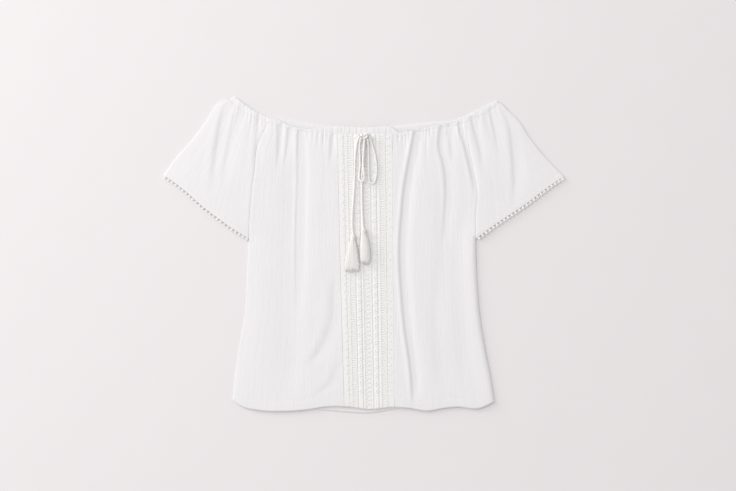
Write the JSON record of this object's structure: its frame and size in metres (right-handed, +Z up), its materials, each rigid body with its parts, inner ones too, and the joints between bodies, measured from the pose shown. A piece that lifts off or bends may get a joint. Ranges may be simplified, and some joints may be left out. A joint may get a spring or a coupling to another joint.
{
  "type": "off-shoulder top",
  "caption": "Off-shoulder top laid flat: gathered neck band, flutter sleeves with picot edging, lace front panel and a tasselled cord tie.",
  "frame": {"origin": "middle of the top on the surface that it lies on", "axes": "+X across the top from the left sleeve to the right one as seen from above, +Y from the hem to the neckline, +Z up from the surface"},
  "size_m": [0.7057, 0.5547, 0.0142],
  "materials": {
    "crepe": "white crinkle crepe, matt, with fine uneven ribs down the cloth",
    "lace": "white cotton lace, matt",
    "cord": "white twisted cotton cord and yarn, matt"
  },
  "bodies": {
    "root": {"back": "crepe", "front_left": "crepe", "front_right": "crepe", "sleeve_left": "crepe", "sleeve_right": "crepe", "neck_band": "crepe", "lace_panel": "lace", "sleeve_trim_left": "lace", "sleeve_trim_right": "lace", "tie_knot": "cord", "tie_loop_left": "cord", "tie_loop_right": "cord", "tie_tail_left": "cord", "tie_tail_right": "cord", "tassel_left": "cord", "tassel_right": "cord"}
  },
  "joints": []
}
